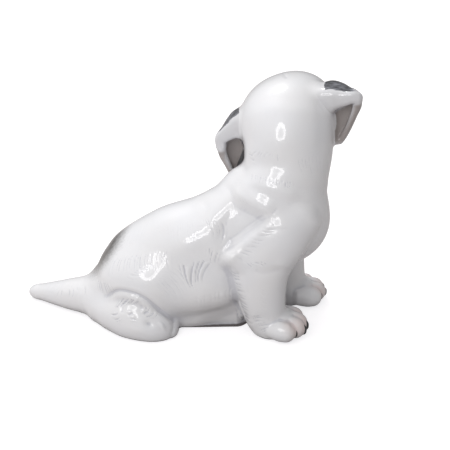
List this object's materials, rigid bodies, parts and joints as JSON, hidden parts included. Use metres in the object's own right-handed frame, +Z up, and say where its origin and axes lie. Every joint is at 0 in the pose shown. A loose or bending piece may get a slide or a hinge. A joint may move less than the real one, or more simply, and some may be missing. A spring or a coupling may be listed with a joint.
{
  "type": "dog figurine",
  "caption": "Seated puppy in glazed white porcelain, head turned and cocked to its left, folded ears, tail laid on the table, standing on a flat foot under the belly.",
  "frame": {"origin": "on the flat foot under the belly, in the figurine's middle plane, where it stands on the table", "axes": "+X is the way the chest faces, +Y is the puppy's left, +Z is up"},
  "size_m": [0.1708, 0.092, 0.1221],
  "materials": {
    "porcelain": "clear gloss glaze over white porcelain, with small underglaze marks",
    "painted_porcelain": "clear gloss glaze over white porcelain with a brushed grey-black underglaze patch"
  },
  "bodies": {
    "root": {"torso_casting": "porcelain", "head_casting": "porcelain", "left_ear": "painted_porcelain", "right_ear": "painted_porcelain", "right_foreleg": "porcelain", "left_foreleg": "porcelain", "right_hind_foot": "porcelain", "left_hind_foot": "porcelain", "tail": "porcelain"}
  },
  "joints": []
}
